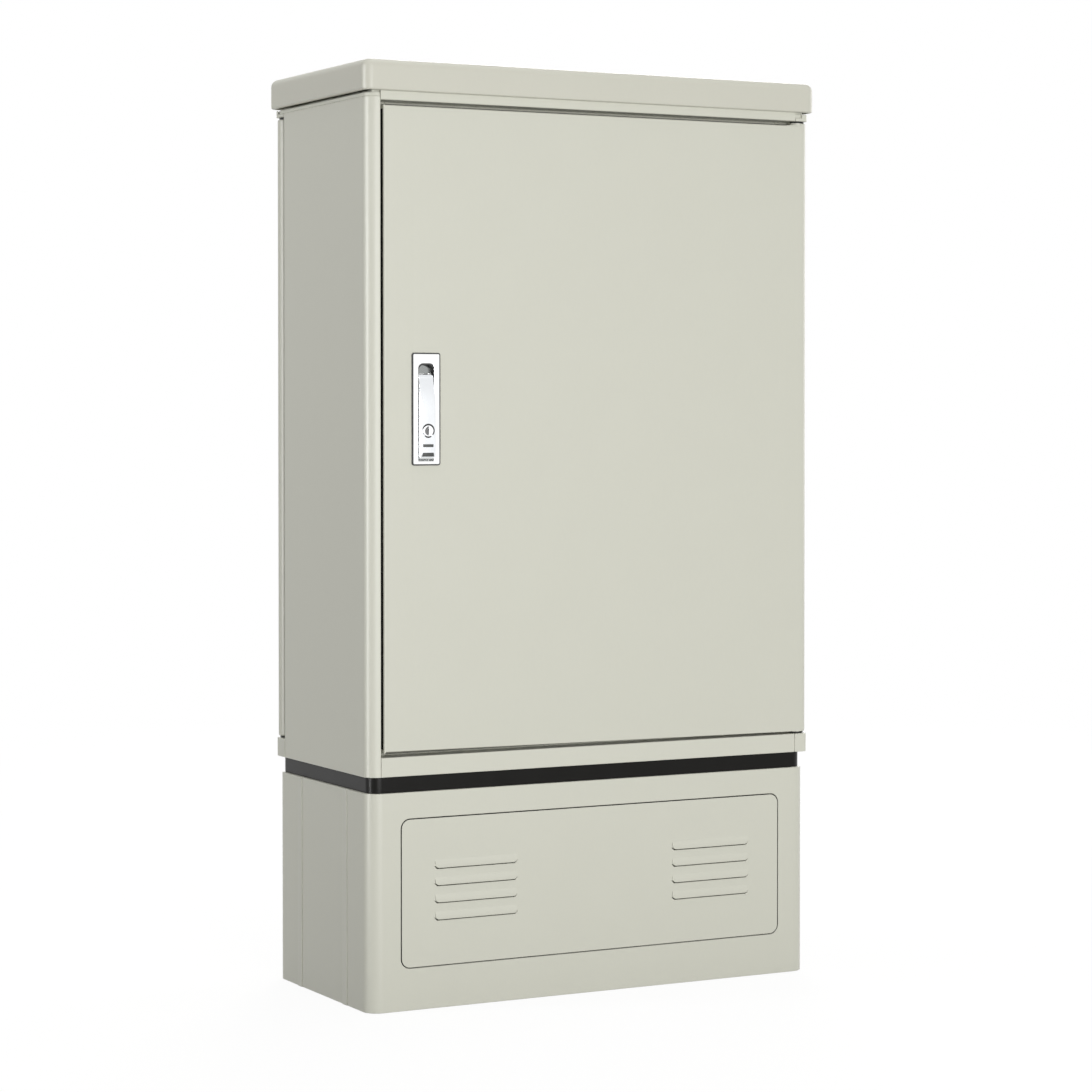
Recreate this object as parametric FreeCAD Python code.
import FreeCAD
import Part
import math
import os

# Street cabinet of moulded glass-fibre plastic: a plinth, a rubber band, a body with a door front and
# rear, and a roof cap. Millimetres. X runs along the front, Y from front to rear, Z up.
# The origin is on the ground, under the middle of the plinth. The rear repeats the front, turned half round.

V = FreeCAD.Vector

# Plinth
BASE_WIDTH = 787.0
BASE_DEPTH = 352.0
BASE_HEIGHT = 335.0
BASE_CORNER = 24.0
BASE_WALL = 5.0
FOOT_WIDTH = 62.0
FOOT_THICKNESS = 8.0
BASE_RIM_WIDTH = 42.0
BASE_RIM_THICKNESS = 6.0
ANCHOR_HOLE_RADIUS = 7.0
ANCHOR_INSET = 36.0

# Strips that cover the joints of the plinth's mouldings
STRIP_INSET = 90.0
STRIP_WIDTH = 16.0
STRIP_THICKNESS = 2.5
STRIP_PROUD = 1.0
JOINT_GAP = 1.0

# Ventilated cover in the plinth
COVER_SIDE_MARGIN = 55.0
COVER_BOTTOM = 66.0
COVER_TOP_MARGIN = 42.0
COVER_CORNER = 14.0
COVER_THICKNESS = 4.0
COVER_GAP = 1.5
COVER_SEAT = 14.0
LOUVRE_LENGTH = 142.0
LOUVRE_HEIGHT = 14.0
LOUVRE_DEPTH = 1.4
LOUVRE_CORNER = 6.0
LOUVRE_CORNER_STEPS = 2
LOUVRE_SWELL_OUT = 0.8
LOUVRE_SWELL_UP = 0.6
LOUVRE_WALL = 1.5
LOUVRE_SLOT_DROP = 1.4
LOUVRE_SLOT_SIDE = 1.0
LOUVRE_PITCH = 26.5
LOUVRE_COUNT = 4
LOUVRE_ABOVE_EDGE = 70.0
LOUVRE_SIDE_INSET = 127.5

# Rubber band between plinth and body
BAND_HEIGHT = 25.0
BAND_INSET = 4.5
BAND_WIDTH = 26.0

# Body
BODY_OVERHANG = 2.0
BODY_CORNER = 20.0
POST_INNER_CORNER = 12.0
BODY_WALL = 4.5
BODY_REAR_ROUND = 3.0
POST_FACE = 21.5
LANDING_WIDTH = 22.0
LANDING_LIP = 10.0
LANDING_HEIGHT = 26.0
SILL_HEIGHT = 30.0
LINTEL_HEIGHT = 14.0
LINTEL_UPSTAND = 10.0
RAIL_ROUND = 2.0
SIDE_FLANGE = 32.0
FIT_GAP = 0.3
NECK_HEIGHT = 6.0
NECK_STEP = 1.2

# Floor with cable entries, and the ceiling plate
FLOOR_THICKNESS = 6.0
ENTRY_RADIUS = 30.0
ENTRY_COUNT = 2
ENTRY_PITCH = 300.0
GROMMET_BORE = 20.0
GROMMET_LIP = 6.0
GROMMET_LIP_HEIGHT = 5.0
CEILING_THICKNESS = 4.0
CEILING_INSET = 9.0

# Roof cap
CAP_OVERHANG = 8.0
CAP_HEIGHT = 47.2
CAP_GAP = 2.8
CAP_WALL = 6.0
CAP_CORNER = 14.5
CAP_TOP_ROUND = 12.0
CAP_CROWN_RADIUS = 3000.0
CAP_CROWN_INSET = 14.0
CAP_HIP_LENGTH = 60.0
CAP_RIB_INSET = 70.0
CAP_RIB_WALL = 5.0

# Door
DOOR_HEIGHT = 985.0
DOOR_DEPTH = 28.0
DOOR_WALL = 4.0
DOOR_GAP_LOCK = 5.0
DOOR_GAP_BOTTOM = 6.5
DOOR_GAP_TOP = 7.3
DOOR_GAP_BACK = 5.5
DOOR_LOCK_ROUND = 3.0
DOOR_RIB_DEPTH = 9.0
DOOR_RIB_WALL = 4.0
DOOR_RIB_COUNT = 7
DOOR_RIB_INSET_LOCK = 51.0
DOOR_RIB_INSET_HINGE = 30.5
SEAL_WIDTH = 12.0
SEAL_CLEARANCE = 0.5

# Hinges
PIN_RADIUS = 5.0
PIN_FIT = 0.05
PIN_SEAT_FIT = 0.02
PIN_IN_DOOR = 28.0
PIN_IN_LUG = 18.0
PIN_END_CLEARANCE = 0.3
LUG_WIDTH = 24.5
LUG_CORNER = 8.0
KNUCKLE_GAP = 3.0
PIN_BLOCK = 34.0

# Lock
LOCK_EDGE_INSET = 70.5
LOCK_ABOVE_DOOR_BOTTOM = 438.5
LOCK_HEIGHT = 170.5
LOCK_FLANGE = 9.75
LOCK_CORNER = 3.0
LOCK_PROUD = 2.5
TRAY_WIDTH = 27.0
TRAY_BOTTOM_INSET = 6.0
TRAY_TOP_INSET = 15.5
TRAY_CORNER = 8.0
TRAY_DEPTH = 16.0
TRAY_WALL = 2.5
CUTOUT_CLEARANCE = 0.5
LEVER_SIDE_GAP = 1.0
LEVER_ROUND = 10.5
LEVER_TRAY_GAP = 1.5
FINGER_RECESS = 16.5
LEVER_PROUD = 9.0
LEVER_TIP_THICKNESS = 8.0
LEVER_TIP_SLOPE = 6.0
LEVER_TIP_EDGE = 1.0
LEVER_GRIP_FALL = 2.0
LEVER_BACK_BOW = 0.55
LEVER_PIN_RADIUS = 2.0
CYLINDER_RADIUS = 8.5
CYLINDER_LENGTH = 12.0
CYLINDER_ABOVE_PIN = 34.0
CYLINDER_PROUD = 0.8
KEYWAY_WIDTH = 2.0
KEYWAY_LENGTH = 7.0
CASE_WIDTH = 34.0
CASE_DEPTH = 11.0
CASE_END_INSET = 12.0
ROD_WIDTH = 16.0
ROD_THICKNESS = 3.0
ROD_END_GAP = 12.0
GUIDE_WIDTH = 34.0
GUIDE_WALL = 3.0
GUIDE_HEIGHT = 14.0
GUIDE_END_GAP = 30.0
ROD_FIT = 0.2

# Levels and half sizes that follow from the sizes above
BODY_WIDTH = BASE_WIDTH + 2 * BODY_OVERHANG
BODY_DEPTH = BASE_DEPTH + 2 * BODY_OVERHANG
BODY_BOTTOM = BASE_HEIGHT + BAND_HEIGHT
SILL_TOP = BODY_BOTTOM + SILL_HEIGHT
DOOR_BOTTOM = SILL_TOP + DOOR_GAP_BOTTOM
DOOR_TOP = DOOR_BOTTOM + DOOR_HEIGHT
LINTEL_BOTTOM = DOOR_TOP + DOOR_GAP_TOP
CAP_BOTTOM = LINTEL_BOTTOM + LINTEL_HEIGHT
BODY_TOP = CAP_BOTTOM - CAP_GAP
CAP_RIM_TOP = CAP_BOTTOM + CAP_HEIGHT

COVER_TOP = BASE_HEIGHT - COVER_TOP_MARGIN
COVER_HALF = BASE_WIDTH / 2 - COVER_SIDE_MARGIN
JOINT_Y = BASE_DEPTH / 2 - STRIP_INSET

SIDE_X = BODY_WIDTH / 2
FACE_Y = BODY_DEPTH / 2
NOSE_RADIUS = DOOR_DEPTH / 2
RIM_Y = FACE_Y - DOOR_DEPTH
LANDING_Y = RIM_Y - DOOR_GAP_BACK
HINGE_X = SIDE_X - NOSE_RADIUS
HINGE_Y = FACE_Y - NOSE_RADIUS
POST_X = SIDE_X - POST_FACE
LANDING_X = POST_X - LANDING_WIDTH
LUG_X = SIDE_X - LUG_WIDTH
DOOR_LOCK_X = -(POST_X - DOOR_GAP_LOCK)
DOOR_INSIDE_Y = FACE_Y - DOOR_WALL
KNUCKLE_BOTTOM = SILL_TOP + KNUCKLE_GAP
KNUCKLE_TOP = LINTEL_BOTTOM - KNUCKLE_GAP

LOCK_X = DOOR_LOCK_X + LOCK_EDGE_INSET
LOCK_HALF = TRAY_WIDTH / 2 + LOCK_FLANGE
LOCK_BOTTOM = DOOR_BOTTOM + LOCK_ABOVE_DOOR_BOTTOM
LOCK_TOP = LOCK_BOTTOM + LOCK_HEIGHT
LOCK_FACE_Y = FACE_Y + LOCK_PROUD
TRAY_BOTTOM = LOCK_BOTTOM + TRAY_BOTTOM_INSET
TRAY_TOP = LOCK_TOP - TRAY_TOP_INSET
TRAY_FLOOR_Y = FACE_Y - TRAY_DEPTH
LEVER_HALF = TRAY_WIDTH / 2 - LEVER_SIDE_GAP
LEVER_AXIS_Z = TRAY_BOTTOM + LEVER_TRAY_GAP + LEVER_ROUND
LEVER_TOP = TRAY_TOP - FINGER_RECESS
LEVER_FACE_Y = FACE_Y + LEVER_PROUD
LEVER_AXIS_Y = LEVER_FACE_Y - LEVER_ROUND
CYLINDER_Z = LEVER_AXIS_Z + CYLINDER_ABOVE_PIN
CASE_FRONT_Y = TRAY_FLOOR_Y - TRAY_WALL
ROD_Y = CASE_FRONT_Y - CASE_DEPTH / 2


def point(plane, a, b, level):
    """A point of a flat outline: a and b lie in the plane, level is the third coordinate."""
    if plane == "XY":
        return V(a, b, level)
    if plane == "YZ":
        return V(level, a, b)
    return V(a, level, b)


def outline(plane, corners, level):
    """Closed wire through corners of (a, b) or (a, b, radius), rounded where a radius is given."""
    starts, arcs = [], []
    count = len(corners)
    for i in range(count):
        here = point(plane, corners[i][0], corners[i][1], level)
        before = point(plane, corners[i - 1][0], corners[i - 1][1], level)
        after = point(plane, corners[(i + 1) % count][0], corners[(i + 1) % count][1], level)
        radius = corners[i][2] if len(corners[i]) > 2 else 0.0
        if radius <= 0:
            starts.append((here, here))
            arcs.append(None)
            continue
        back = (before - here).normalize()
        onward = (after - here).normalize()
        half = back.getAngle(onward) / 2
        reach = radius / math.tan(half)
        inward = (back + onward).normalize()
        middle = here + inward * (radius / math.sin(half) - radius)
        starts.append((here + back * reach, here + onward * reach))
        arcs.append(middle)
    edges = []
    for i in range(count):
        enter, leave = starts[i]
        if arcs[i] is not None:
            edges.append(Part.Arc(enter, arcs[i], leave).toShape())
        following = starts[(i + 1) % count][0]
        if leave.distanceToPoint(following) > 1e-6:
            edges.append(Part.LineSegment(leave, following).toShape())
    return Part.Wire(edges)


def prism(plane, corners, low, high):
    """Solid with the given outline, running from low to high across its plane."""
    face = Part.Face(outline(plane, corners, low))
    run = point(plane, 0, 0, high - low)
    return face.extrude(run)


def rectangle(a0, a1, b0, b1, radius=0.0):
    """Corners of a rectangle with equal rounded corners."""
    return [(a0, b0, radius), (a1, b0, radius), (a1, b1, radius), (a0, b1, radius)]


def block(x0, x1, y0, y1, z0, z1, radius=0.0):
    """Upright block with rounded vertical edges."""
    return prism("XY", rectangle(x0, x1, y0, y1, radius), z0, z1)


def ring(half_x, half_y, corner, width, z0, z1):
    """Upright rectangular ring about the Z axis, with the given wall width."""
    outer = block(-half_x, half_x, -half_y, half_y, z0, z1, corner)
    inner_corner = max(corner - width, 0.0)
    inner = block(-half_x + width, half_x - width, -half_y + width, half_y - width, z0, z1, inner_corner)
    return outer.cut(inner)


def upright(radius, x, y, z0, z1):
    """Round bar along Z."""
    return Part.makeCylinder(radius, z1 - z0, V(x, y, z0), V(0, 0, 1))


def along_y(radius, x, z, y0, y1):
    """Round bar along Y."""
    return Part.makeCylinder(radius, y1 - y0, V(x, y0, z), V(0, 1, 0))


def along_x(radius, y, z, x0, x1):
    """Round bar along X."""
    return Part.makeCylinder(radius, x1 - x0, V(x0, y, z), V(1, 0, 0))


def fused(shapes):
    """One solid made of several that meet."""
    return shapes[0].multiFuse(shapes[1:]).removeSplitter()


def turned(shape):
    """The same piece on the rear: half a turn about the upright axis."""
    copy = shape.copy()
    copy.rotate(V(0, 0, 0), V(0, 0, 1), 180)
    return copy


def save(name, shape):
    """Writes one piece under its own name."""
    shape.exportStep(os.path.join("parts", name + ".step"))
    print(name, len(shape.Solids), "solid", round(shape.Volume / 1000.0, 1), "cm3")


# Plinth

def plinth_shell():
    """The whole plinth in one: walls, foot flange with anchor holes, top rim and both cover seats."""
    half_x, half_y = BASE_WIDTH / 2, BASE_DEPTH / 2
    walls = ring(half_x, half_y, BASE_CORNER, BASE_WALL, 0, BASE_HEIGHT)
    foot = ring(half_x, half_y, BASE_CORNER, FOOT_WIDTH, 0, FOOT_THICKNESS)
    rim = ring(half_x, half_y, BASE_CORNER, BASE_RIM_WIDTH, BASE_HEIGHT - BASE_RIM_THICKNESS, BASE_HEIGHT)
    shell = fused([walls, foot, rim])
    for side in (-1, 1):
        shell = with_cover_seat(shell, side)
    for x in (-1, 1):
        for y in (-1, 1):
            hole = upright(ANCHOR_HOLE_RADIUS, x * (half_x - ANCHOR_INSET), y * (half_y - ANCHOR_INSET),
                           -1, FOOT_THICKNESS + 1)
            shell = shell.cut(hole)
    return shell


def with_cover_seat(shell, side):
    """Adds the raised seat inside one wall and cuts the stepped opening for the cover."""
    face = side * BASE_DEPTH / 2
    seat_back = face - side * 2 * COVER_THICKNESS
    step = face - side * COVER_THICKNESS
    half = COVER_HALF + COVER_GAP
    low = COVER_BOTTOM - COVER_GAP
    high = COVER_TOP + COVER_GAP
    frame = prism("XZ", rectangle(-half - COVER_SEAT, half + COVER_SEAT, low - COVER_SEAT, high + COVER_SEAT),
                  seat_back, face - side * BASE_WALL / 2)
    pocket = prism("XZ", rectangle(-half, half, low, high, COVER_CORNER + COVER_GAP), step, face + side)
    window = prism("XZ", rectangle(-half + COVER_SEAT, half - COVER_SEAT, low + COVER_SEAT, high - COVER_SEAT),
                   seat_back - side, face + side)
    return shell.fuse(frame).removeSplitter().cut(pocket).cut(window)


def strip_grooves():
    """Grooves across the four joints, as deep as the strips sit in them."""
    half = BASE_WIDTH / 2
    depth = STRIP_THICKNESS - STRIP_PROUD
    reach = STRIP_WIDTH / 2 + FIT_GAP
    grooves = []
    for x in (-1, 1):
        for y in (-1, 1):
            inside, outside = sorted((x * (half - depth), x * (half + 1)))
            grooves.append(block(inside, outside, y * JOINT_Y - reach, y * JOINT_Y + reach, -1, BASE_HEIGHT + 1))
    return grooves


def joint_strips(side):
    """The two cover strips on one side of the plinth."""
    half = BASE_WIDTH / 2
    inside, outside = sorted((side * (half - STRIP_THICKNESS + STRIP_PROUD), side * (half + STRIP_PROUD)))
    reach = STRIP_WIDTH / 2
    strips = []
    for y in (-JOINT_Y, JOINT_Y):
        strips.append(block(inside, outside, y - reach, y + reach, 0, BASE_HEIGHT))
    return Part.makeCompound(strips)


def plinth_pieces():
    """Cuts the plinth at its joints: the front moulding and the left one."""
    shell = plinth_shell()
    for groove in strip_grooves():
        shell = shell.cut(groove)
    far = BASE_WIDTH
    low, high = -1, BASE_HEIGHT + 1
    front = shell.common(block(-far, far, -far, -JOINT_Y - JOINT_GAP / 2, low, high))
    side_end = JOINT_Y - JOINT_GAP / 2
    left = shell.common(block(-far, 0, -side_end, side_end, low, high))
    return front, left


def louvre_hood(x, z):
    """Hood of one louvre: it swells from the cover's face down to its lip, and its lower corners are round."""
    face = -BASE_DEPTH / 2
    top, lip = z + LOUVRE_HEIGHT, face - LOUVRE_DEPTH
    half = LOUVRE_LENGTH / 2
    root = face + COVER_THICKNESS / 4
    swell = V(x - half, face - LOUVRE_SWELL_OUT * LOUVRE_DEPTH, z + LOUVRE_SWELL_UP * LOUVRE_HEIGHT)
    start, lower = V(x - half, face, top), V(x - half, lip, z)
    seat, upper = V(x - half, root, z), V(x - half, root, top)
    section = Part.Wire([Part.Arc(start, swell, lower).toShape(), Part.LineSegment(lower, seat).toShape(),
                         Part.LineSegment(seat, upper).toShape(), Part.LineSegment(upper, start).toShape()])
    hood = Part.Face(section).extrude(V(LOUVRE_LENGTH, 0, 0))
    turn = math.pi / 2 / LOUVRE_CORNER_STEPS
    curve = [(half - LOUVRE_CORNER * (1 - math.sin(i * turn)), z + LOUVRE_CORNER * (1 - math.cos(i * turn)))
             for i in range(LOUVRE_CORNER_STEPS + 1)]
    front_view = [(x - a, b) for a, b in reversed(curve)] + [(x + a, b) for a, b in curve]
    front_view += [(x + half, top), (x - half, top)]
    return hood.common(prism("XZ", front_view, lip - LOUVRE_DEPTH, root))


def louvre_slot(x, z):
    """Slot through the cover under one hood: it shows as a line below the lip that turns up at both ends."""
    face = -BASE_DEPTH / 2
    half = LOUVRE_LENGTH / 2 + LOUVRE_SLOT_SIDE
    inner = LOUVRE_LENGTH / 2 - LOUVRE_CORNER
    low = z - LOUVRE_SLOT_DROP
    high = z + LOUVRE_HEIGHT - 2 * LOUVRE_WALL
    bevel = LOUVRE_CORNER * (2 - math.sqrt(2)) + LOUVRE_SLOT_SIDE
    front_view = [(x - half, low + bevel), (x - half + bevel, low), (x + half - bevel, low),
                  (x + half, low + bevel), (x + inner, low + bevel), (x + inner, high),
                  (x - inner, high), (x - inner, low + bevel)]
    return prism("XZ", front_view, face - 1, face + COVER_THICKNESS + 1)


def louvre_hollow(x, z):
    """Space under one hood, between its end walls."""
    face = -BASE_DEPTH / 2
    half = LOUVRE_LENGTH / 2 - LOUVRE_CORNER
    lip = face - LOUVRE_DEPTH + LOUVRE_WALL
    high = z + LOUVRE_HEIGHT - 2 * LOUVRE_WALL
    inside = face + COVER_THICKNESS / 2
    low = z - LOUVRE_SLOT_DROP
    return block(x - half, x + half, lip, inside, low, high)


def plinth_cover():
    """Front cover of the plinth with two columns of louvres."""
    face = -BASE_DEPTH / 2
    cover = prism("XZ", rectangle(-COVER_HALF, COVER_HALF, COVER_BOTTOM, COVER_TOP, COVER_CORNER),
                  face, face + COVER_THICKNESS)
    column = COVER_HALF - LOUVRE_SIDE_INSET
    for x in (-column, column):
        for row in range(LOUVRE_COUNT):
            z = COVER_BOTTOM + LOUVRE_ABOVE_EDGE + row * LOUVRE_PITCH
            hood = louvre_hood(x, z).cut(louvre_hollow(x, z))
            cover = cover.cut(louvre_slot(x, z)).fuse(hood)
    return cover.removeSplitter()


def spacer_band():
    """Black rubber band on the plinth's top rim."""
    half_x, half_y = BASE_WIDTH / 2 - BAND_INSET, BASE_DEPTH / 2 - BAND_INSET
    return ring(half_x, half_y, BASE_CORNER - BAND_INSET, BAND_WIDTH, BASE_HEIGHT, BODY_BOTTOM)


# Body

def side_panel():
    """Left side panel: front post with the seal landing, side wall, rear landing and the rear hinge lugs."""
    wall = BODY_WALL
    inner = LANDING_X
    corners = [
        (-SIDE_X, LANDING_Y, BODY_REAR_ROUND),
        (-SIDE_X, -FACE_Y, BODY_CORNER),
        (-POST_X, -FACE_Y),
        (-POST_X, -LANDING_Y),
        (-inner, -LANDING_Y),
        (-inner, -LANDING_Y + LANDING_LIP),
        (-inner - wall, -LANDING_Y + LANDING_LIP),
        (-inner - wall, -LANDING_Y + wall),
        (-POST_X - wall, -LANDING_Y + wall),
        (-POST_X - wall, -FACE_Y + wall),
        (-SIDE_X + wall, -FACE_Y + wall, POST_INNER_CORNER),
        (-SIDE_X + wall, LANDING_Y - wall),
        (-inner - wall, LANDING_Y - wall),
        (-inner - wall, LANDING_Y - LANDING_LIP),
        (-inner, LANDING_Y - LANDING_LIP),
        (-inner, LANDING_Y),
    ]
    panel = prism("XY", corners, BODY_BOTTOM, BODY_TOP)
    flanges = []
    reach_x = -SIDE_X + wall / 2
    for low in (BODY_BOTTOM, BODY_TOP - wall):
        flanges.append(block(reach_x, -SIDE_X + wall + SIDE_FLANGE, -LANDING_Y + wall / 2, LANDING_Y - wall / 2,
                             low, low + wall))
    lugs = [hinge_lug(BODY_BOTTOM, SILL_TOP), hinge_lug(LINTEL_BOTTOM, BODY_TOP)]
    panel = fused([panel] + flanges + lugs)
    seat = upright(PIN_RADIUS + PIN_SEAT_FIT, -HINGE_X, HINGE_Y, SILL_TOP - PIN_IN_LUG, SILL_TOP + 1)
    upper_seat = upright(PIN_RADIUS + PIN_SEAT_FIT, -HINGE_X, HINGE_Y, LINTEL_BOTTOM - 1, BODY_TOP + 1)
    neck = ring(SIDE_X + 1, FACE_Y + 1, BODY_CORNER + 1, 1 + NECK_STEP, BODY_TOP - NECK_HEIGHT, BODY_TOP + 1)
    return panel.cut(seat).cut(upper_seat).cut(neck)


def hinge_lug(low, high):
    """Solid corner block that holds a hinge pin, at the rear end of the left panel."""
    root = LANDING_Y - BODY_WALL / 2
    return prism("XY", [(-SIDE_X, root), (-LUG_X, root), (-LUG_X, FACE_Y), (-SIDE_X, FACE_Y, LUG_CORNER)],
                 low, high)


def front_sill():
    """Rail under the front door: a box section with an upstand for the seal."""
    wall = BODY_WALL
    left, right = -POST_X + FIT_GAP, LUG_X - FIT_GAP
    back = -LANDING_Y
    shell = prism("YZ", [(-FACE_Y, BODY_BOTTOM), (-FACE_Y, SILL_TOP, RAIL_ROUND), (back, SILL_TOP),
                         (back, SILL_TOP - wall), (-FACE_Y + wall, SILL_TOP - wall),
                         (-FACE_Y + wall, BODY_BOTTOM + wall), (back - wall, BODY_BOTTOM + wall),
                         (back - wall, BODY_BOTTOM)], left, right)
    stand = landing_rail(BODY_BOTTOM, SILL_TOP + LANDING_HEIGHT)
    bridge = block(-LANDING_X + FIT_GAP, LANDING_X - FIT_GAP, back - 1, back + wall / 2, SILL_TOP - wall, SILL_TOP)
    return fused([shell, stand, bridge])


def landing_rail(root, tip):
    """Upright strip that the seal of the front door lies on, with a stiffening lip at its tip."""
    wall = BODY_WALL
    back = -LANDING_Y
    x = LANDING_X - FIT_GAP
    lip_low = tip - math.copysign(wall, tip - root)
    corners = [(back, root), (back, tip), (back + LANDING_LIP, tip), (back + LANDING_LIP, lip_low),
               (back + wall, lip_low), (back + wall, root)]
    return prism("YZ", corners, -x, x)


def front_lintel():
    """Rail over the front door, which runs up behind the skirt of the cap."""
    wall = BODY_WALL
    left, right = -POST_X + FIT_GAP, LUG_X - FIT_GAP
    back = -LANDING_Y
    top = CAP_BOTTOM + LINTEL_UPSTAND
    shell = prism("YZ", [(-FACE_Y, top), (-FACE_Y, LINTEL_BOTTOM, RAIL_ROUND), (back, LINTEL_BOTTOM),
                         (back, LINTEL_BOTTOM + wall), (-FACE_Y + wall, LINTEL_BOTTOM + wall),
                         (-FACE_Y + wall, top)], left, right)
    stand = landing_rail(BODY_TOP, LINTEL_BOTTOM - LANDING_HEIGHT)
    bridge = block(-LANDING_X + FIT_GAP, LANDING_X - FIT_GAP, back - 1, back + wall / 2,
                   LINTEL_BOTTOM, LINTEL_BOTTOM + wall)
    return fused([shell, stand, bridge])


def cable_entries():
    """Places of the round cable entries along the floor."""
    return [(i - (ENTRY_COUNT - 1) / 2) * ENTRY_PITCH for i in range(ENTRY_COUNT)]


def floor_plate():
    """Floor on the bottom flanges of the side panels, notched for the landing lips, with cable entries."""
    low = BODY_BOTTOM + BODY_WALL
    high = low + FLOOR_THICKNESS
    wide_x, wide_y = SIDE_X - BODY_WALL - FIT_GAP, LANDING_Y - LANDING_LIP - FIT_GAP
    deep_x, deep_y = LANDING_X - FIT_GAP, LANDING_Y - BODY_WALL - FIT_GAP
    plate = fused([block(-wide_x, wide_x, -wide_y, wide_y, low, high),
                   block(-deep_x, deep_x, -deep_y, deep_y, low, high)])
    for x in cable_entries():
        plate = plate.cut(upright(ENTRY_RADIUS, x, 0, low - 1, high + 1))
    return plate


def grommet(x):
    """Rubber grommet that lines a cable entry and rests on the floor with its lip."""
    low = BODY_BOTTOM + BODY_WALL
    high = low + FLOOR_THICKNESS
    lip = ENTRY_RADIUS + GROMMET_LIP
    lip_top = high + GROMMET_LIP_HEIGHT
    corners = [(GROMMET_BORE, low), (ENTRY_RADIUS, low), (ENTRY_RADIUS, high), (lip, high), (lip, lip_top),
               (GROMMET_BORE, lip_top)]
    body = Part.Face(outline("XZ", corners, 0.0)).revolve(V(0, 0, 0), V(0, 0, 1), 360)
    body.translate(V(x, 0, 0))
    return body


def ceiling_plate():
    """Plate that closes the body under the cap."""
    half_x = SIDE_X - CEILING_INSET
    half_y = FACE_Y - BODY_WALL - FIT_GAP
    return block(-half_x, half_x, -half_y, half_y, BODY_TOP, BODY_TOP + CEILING_THICKNESS)


def crown(half_x, half_y, level):
    """Shallow vault on a flat top, hipped at both ends, so that rain runs off."""
    rise = CAP_CROWN_RADIUS - math.sqrt(CAP_CROWN_RADIUS ** 2 - half_y ** 2)
    root = level - CAP_WALL / 2
    vault = along_x(CAP_CROWN_RADIUS, 0, level + rise - CAP_CROWN_RADIUS, -half_x, half_x)
    side_view = [(-half_x, root), (half_x, root), (half_x, level), (half_x - CAP_HIP_LENGTH, level + rise),
                 (-half_x + CAP_HIP_LENGTH, level + rise), (-half_x, level)]
    return vault.common(prism("XZ", side_view, -half_y, half_y))


def roof_cap():
    """Moulded cap: a skirt with a soft top edge, a shallow crown and two ribs that carry it."""
    half_x, half_y = SIDE_X + CAP_OVERHANG, FACE_Y + CAP_OVERHANG
    crown_x, crown_y = half_x - CAP_CROWN_INSET, half_y - CAP_CROWN_INSET
    outer = block(-half_x, half_x, -half_y, half_y, CAP_BOTTOM, CAP_RIM_TOP, CAP_CORNER)
    middle_z = (CAP_BOTTOM + CAP_RIM_TOP) / 2
    top_edges = [edge for edge in outer.Edges if edge.BoundBox.ZMin > middle_z]
    outer = fused([outer.makeFillet(CAP_TOP_ROUND, top_edges), crown(crown_x, crown_y, CAP_RIM_TOP)])
    wall = CAP_WALL
    hollow = fused([block(-half_x + wall, half_x - wall, -half_y + wall, half_y - wall, CAP_BOTTOM - wall,
                          CAP_RIM_TOP - wall, CAP_CORNER - wall), crown(crown_x, crown_y, CAP_RIM_TOP - wall)])
    foot, step = BODY_TOP + CEILING_THICKNESS, CAP_BOTTOM + LINTEL_UPSTAND + FIT_GAP
    short = FACE_Y - BODY_WALL - FIT_GAP
    rib_view = [(-short, foot), (short, foot), (short, step), (half_y, step), (half_y, CAP_RIM_TOP),
                (-half_y, CAP_RIM_TOP), (-half_y, step), (-short, step)]
    for x in (-half_x + CAP_RIB_INSET, half_x - CAP_RIB_INSET):
        hollow = hollow.cut(prism("YZ", rib_view, x - CAP_RIB_WALL / 2, x + CAP_RIB_WALL / 2))
    return outer.cut(hollow)


def front_seal():
    """Rubber seal on the landing round the front door opening."""
    half_x = (LANDING_X + POST_X) / 2 + SEAL_WIDTH / 2
    low = (DOOR_BOTTOM + SILL_TOP + LANDING_HEIGHT) / 2 - SEAL_WIDTH / 2
    high = (DOOR_TOP + LINTEL_BOTTOM - LANDING_HEIGHT) / 2 + SEAL_WIDTH / 2
    front = -(RIM_Y - SEAL_CLEARANCE)
    outer = prism("XZ", rectangle(-half_x, half_x, low, high), front, -LANDING_Y)
    inner = prism("XZ", rectangle(-half_x + SEAL_WIDTH, half_x - SEAL_WIDTH, low + SEAL_WIDTH, high - SEAL_WIDTH),
                  front - 1, -LANDING_Y + 1)
    return outer.cut(inner)


def front_hinge_pins():
    """Lower pin, whose end carries the door, and upper pin."""
    lower = upright(PIN_RADIUS, HINGE_X, -HINGE_Y, SILL_TOP - PIN_IN_LUG, KNUCKLE_BOTTOM + PIN_IN_DOOR)
    upper = upright(PIN_RADIUS, HINGE_X, -HINGE_Y, KNUCKLE_TOP - PIN_IN_DOOR, BODY_TOP)
    return Part.makeCompound([lower, upper])


# Door

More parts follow.
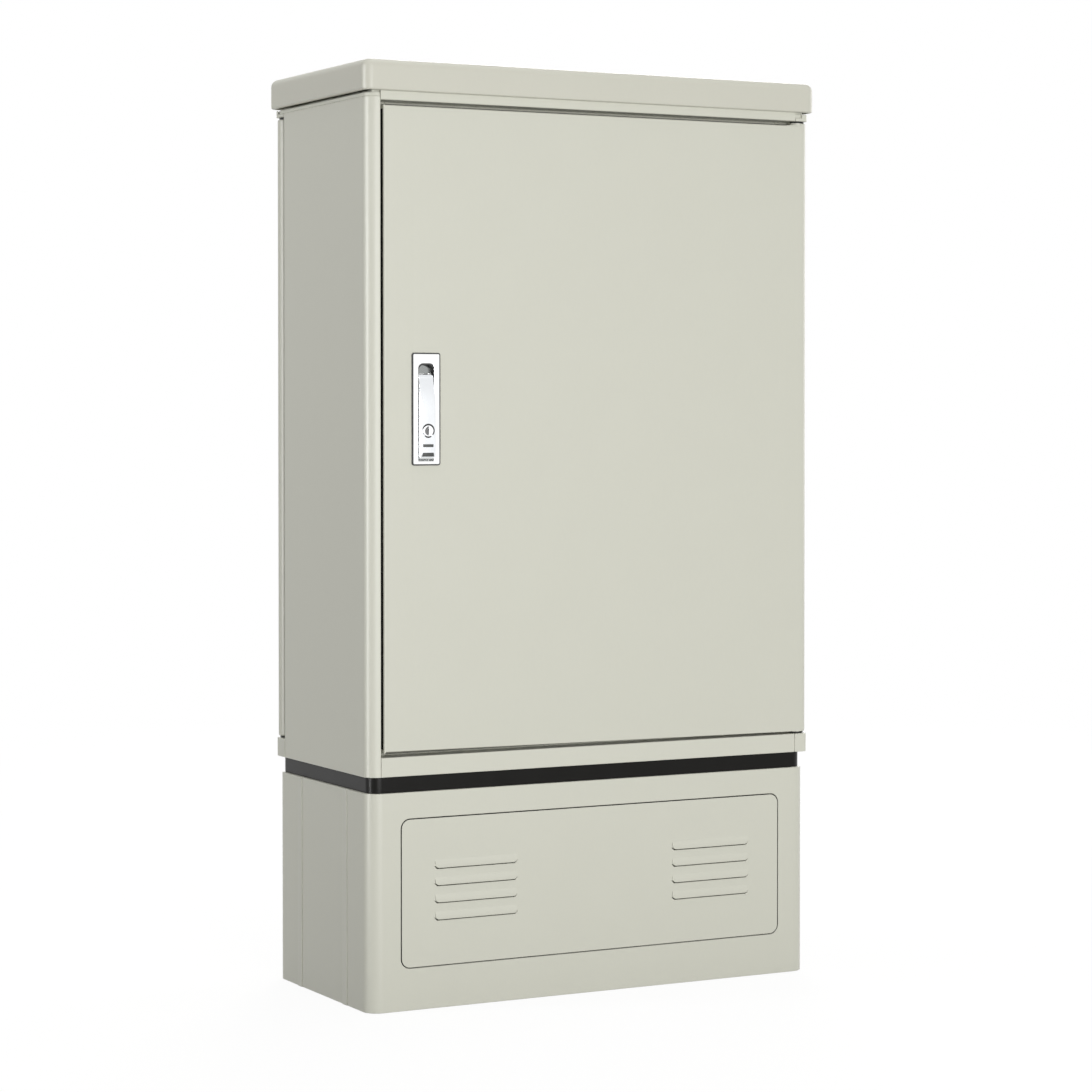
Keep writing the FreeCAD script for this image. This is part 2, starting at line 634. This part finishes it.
def front_door_panel():
    """Door moulding: a tray with a half-round hinge edge, ribs behind the face and the lock cut-out."""
    rim, face = -RIM_Y, -FACE_Y
    nose = NOSE_RADIUS - 0.01
    body = prism("XY", [(DOOR_LOCK_X, face, DOOR_LOCK_ROUND), (SIDE_X, face, nose), (SIDE_X, rim, nose),
                        (DOOR_LOCK_X, rim)], DOOR_BOTTOM, DOOR_TOP)
    knuckles = [upright(NOSE_RADIUS, HINGE_X, -HINGE_Y, DOOR_TOP - 1, KNUCKLE_TOP),
                upright(NOSE_RADIUS, HINGE_X, -HINGE_Y, KNUCKLE_BOTTOM, DOOR_BOTTOM + 1)]
    wall = DOOR_WALL
    tray = block(DOOR_LOCK_X + wall, HINGE_X - NOSE_RADIUS, face + wall, rim + 1, DOOR_BOTTOM + wall,
                 DOOR_TOP - wall)
    core = (NOSE_RADIUS - wall) * math.sqrt(0.5)
    nose_hollow = block(HINGE_X - core, HINGE_X + core, -HINGE_Y - core, -HINGE_Y + core,
                        DOOR_BOTTOM + PIN_BLOCK, DOOR_TOP - PIN_BLOCK)
    door = fused([body] + knuckles).cut(tray).cut(nose_hollow)
    door = fused([door] + door_ribs())
    lock_space = block(LOCK_X - LOCK_HALF, LOCK_X + LOCK_HALF, face + wall, rim + 1, LOCK_BOTTOM, LOCK_TOP)
    reach = TRAY_WALL + CUTOUT_CLEARANCE
    cut_half = TRAY_WIDTH / 2 + reach
    window = prism("XZ", rectangle(LOCK_X - cut_half, LOCK_X + cut_half, TRAY_BOTTOM - reach, TRAY_TOP + reach),
                   face - 1, face + wall + 1)
    bore = PIN_RADIUS + PIN_FIT
    lower_bore = upright(bore, HINGE_X, -HINGE_Y, KNUCKLE_BOTTOM - 1,
                         KNUCKLE_BOTTOM + PIN_IN_DOOR + PIN_END_CLEARANCE)
    upper_bore = upright(bore, HINGE_X, -HINGE_Y, KNUCKLE_TOP - PIN_IN_DOOR - PIN_END_CLEARANCE, KNUCKLE_TOP + 1)
    for cut in (lock_space, window, lower_bore, upper_bore):
        door = door.cut(cut)
    return door


def door_ribs():
    """Two upright ribs and a row of cross ribs between them, on the inside of the front door."""
    front = -DOOR_INSIDE_Y - DOOR_WALL / 2
    back = -DOOR_INSIDE_Y + DOOR_RIB_DEPTH
    half = DOOR_RIB_WALL / 2
    left = DOOR_LOCK_X + DOOR_RIB_INSET_LOCK
    right = HINGE_X - NOSE_RADIUS - DOOR_RIB_INSET_HINGE
    ribs = []
    for x in (left, right):
        ribs.append(block(x - half, x + half, front, back, DOOR_BOTTOM + half, DOOR_TOP - half))
    for i in range(DOOR_RIB_COUNT):
        z = DOOR_BOTTOM + (i + 1) * DOOR_HEIGHT / (DOOR_RIB_COUNT + 1)
        ribs.append(block(left, right, front, back, z - half, z + half))
    return ribs


def front_lock_plate():
    """Lock escutcheon with the tray that the lever lies in."""
    x, face = LOCK_X, -FACE_Y
    plate = prism("XZ", rectangle(x - LOCK_HALF, x + LOCK_HALF, LOCK_BOTTOM, LOCK_TOP, LOCK_CORNER),
                  -LOCK_FACE_Y, face)
    half = TRAY_WIDTH / 2
    wall = TRAY_WALL
    floor = -TRAY_FLOOR_Y
    tray = prism("XZ", rectangle(x - half - wall, x + half + wall, TRAY_BOTTOM - wall, TRAY_TOP + wall),
                 face - LOCK_PROUD / 2, floor + wall)
    hollow = prism("XZ", [(x - half, TRAY_BOTTOM), (x + half, TRAY_BOTTOM), (x + half, TRAY_TOP, TRAY_CORNER),
                          (x - half, TRAY_TOP, TRAY_CORNER)], -LOCK_FACE_Y - 1, floor)
    pin = along_x(LEVER_PIN_RADIUS + PIN_SEAT_FIT, -LEVER_AXIS_Y, LEVER_AXIS_Z, x - half - wall, x + half + wall)
    return fused([plate, tray]).cut(hollow).cut(pin)


def front_lever_pin():
    """Cross pin that the lever lifts on, held in the walls of the tray."""
    reach = TRAY_WIDTH / 2 + TRAY_WALL
    return along_x(LEVER_PIN_RADIUS, -LEVER_AXIS_Y, LEVER_AXIS_Z, LOCK_X - reach, LOCK_X + reach)


def front_lever():
    """Lifting lever: round at its pin, proud along the grip and sunk into the tray at its tip."""
    x = LOCK_X - LEVER_HALF
    radius = LEVER_ROUND
    axis_y, axis_z = -LEVER_AXIS_Y, LEVER_AXIS_Z
    grip_y, tip_y = -LEVER_FACE_Y, -FACE_Y
    back_y = axis_y + LEVER_TIP_THICKNESS / 2
    tip_z = LEVER_TOP - LEVER_TIP_SLOPE
    shoulder_z = (axis_z + LEVER_TOP) / 2
    slant = radius * math.sqrt(0.5)
    edge = LEVER_TIP_EDGE

    def at(y, z):
        return V(x, y, z)

    curves = [
        Part.LineSegment(at(grip_y, axis_z), at(grip_y, shoulder_z)),
        Part.Arc(at(grip_y, shoulder_z), at(grip_y + LEVER_GRIP_FALL, (shoulder_z + tip_z) / 2),
                 at(tip_y - edge, tip_z)),
        Part.Arc(at(tip_y - edge, tip_z), at(tip_y - 0.4 * edge, tip_z + 0.6 * LEVER_TIP_SLOPE),
                 at(tip_y + edge, LEVER_TOP)),
        Part.LineSegment(at(tip_y + edge, LEVER_TOP), at(back_y, LEVER_TOP)),
        Part.LineSegment(at(back_y, LEVER_TOP), at(back_y, axis_z + radius)),
        Part.Arc(at(back_y, axis_z + radius), at(axis_y + 0.9 * radius, axis_z + LEVER_BACK_BOW * radius),
                 at(axis_y + radius, axis_z)),
        Part.Arc(at(axis_y + radius, axis_z), at(axis_y + slant, axis_z - slant), at(axis_y, axis_z - radius)),
        Part.Arc(at(axis_y, axis_z - radius), at(axis_y - slant, axis_z - slant), at(grip_y, axis_z)),
    ]
    profile = Part.Face(Part.Wire([curve.toShape() for curve in curves]))
    lever = profile.extrude(V(2 * LEVER_HALF, 0, 0))
    bore = along_x(LEVER_PIN_RADIUS + PIN_FIT, axis_y, axis_z, x - 1, x + 2 * LEVER_HALF + 1)
    cylinder_seat = along_y(CYLINDER_RADIUS + PIN_FIT, LOCK_X, CYLINDER_Z, grip_y - 1, grip_y + CYLINDER_LENGTH)
    return lever.cut(bore).cut(cylinder_seat)


def front_key_cylinder():
    """Key cylinder in the lever, with its keyway."""
    front = -LEVER_FACE_Y - CYLINDER_PROUD
    back = -LEVER_FACE_Y + CYLINDER_LENGTH - PIN_END_CLEARANCE
    core = along_y(CYLINDER_RADIUS, LOCK_X, CYLINDER_Z, front, back)
    half, long_half = KEYWAY_WIDTH / 2, KEYWAY_LENGTH / 2
    keyway = block(LOCK_X - half, LOCK_X + half, front - 1, front + CYLINDER_LENGTH / 2,
                   CYLINDER_Z - long_half, CYLINDER_Z + long_half)
    return core.cut(keyway)


def front_lock_case():
    """Closed gear case behind the tray, which drives the two rods."""
    half = CASE_WIDTH / 2
    return block(LOCK_X - half, LOCK_X + half, -CASE_FRONT_Y, -CASE_FRONT_Y + CASE_DEPTH,
                 LOCK_BOTTOM + CASE_END_INSET, LOCK_TOP - CASE_END_INSET)


def front_lock_rods():
    """Flat rods from the gear case towards the top and bottom of the door, drawn back."""
    half, thick = ROD_WIDTH / 2, ROD_THICKNESS / 2
    rods = []
    for low, high in ((LOCK_TOP - CASE_END_INSET, DOOR_TOP - DOOR_WALL - ROD_END_GAP),
                      (DOOR_BOTTOM + DOOR_WALL + ROD_END_GAP, LOCK_BOTTOM + CASE_END_INSET)):
        rods.append(block(LOCK_X - half, LOCK_X + half, -ROD_Y - thick, -ROD_Y + thick, low, high))
    return Part.makeCompound(rods)


def front_rod_guides():
    """Guides on the inside of the door near both rod ends."""
    inside = -DOOR_INSIDE_Y
    half = GUIDE_WIDTH / 2
    slot_half, slot_thick = ROD_WIDTH / 2 + ROD_FIT, ROD_THICKNESS / 2 + ROD_FIT
    pillar = slot_half + GUIDE_WALL
    back = -ROD_Y + slot_thick + GUIDE_WALL
    corners = [(LOCK_X - half, inside), (LOCK_X + half, inside), (LOCK_X + half, inside + GUIDE_WALL),
               (LOCK_X + pillar, inside + GUIDE_WALL), (LOCK_X + pillar, back), (LOCK_X - pillar, back),
               (LOCK_X - pillar, inside + GUIDE_WALL), (LOCK_X - half, inside + GUIDE_WALL)]
    guides = []
    for z in (DOOR_BOTTOM + GUIDE_END_GAP, DOOR_TOP - GUIDE_END_GAP - GUIDE_HEIGHT):
        slot = block(LOCK_X - slot_half, LOCK_X + slot_half, -ROD_Y - slot_thick, -ROD_Y + slot_thick,
                     z - 1, z + GUIDE_HEIGHT + 1)
        guides.append(prism("XY", corners, z, z + GUIDE_HEIGHT).cut(slot))
    return Part.makeCompound(guides)


def main():
    os.makedirs("parts", exist_ok=True)

    base_front, base_left = plinth_pieces()
    save("base_front_panel", base_front)
    save("base_rear_panel", turned(base_front))
    save("base_side_left", base_left)
    save("base_side_right", turned(base_left))
    save("base_strips_left", joint_strips(-1))
    save("base_strips_right", joint_strips(1))
    save("spacer_band", spacer_band())
    save("floor_plate", floor_plate())
    save("cable_grommets", Part.makeCompound([grommet(x) for x in cable_entries()]))
    panel = side_panel()
    save("side_panel_left", panel)
    save("side_panel_right", turned(panel))
    save("ceiling_plate", ceiling_plate())
    save("roof_cap", roof_cap())

    front_pieces = {
        "base_cover": plinth_cover(),
        "sill": front_sill(),
        "lintel": front_lintel(),
        "door_seal": front_seal(),
        "hinge_pins": front_hinge_pins(),
        "door_panel": front_door_panel(),
        "lock_plate": front_lock_plate(),
        "lock_case": front_lock_case(),
        "lock_rods": front_lock_rods(),
        "rod_guides": front_rod_guides(),
        "lever_pin": front_lever_pin(),
        "lever": front_lever(),
        "key_cylinder": front_key_cylinder(),
    }
    for name, shape in front_pieces.items():
        save("front_" + name, shape)
        save("rear_" + name, turned(shape))


main()
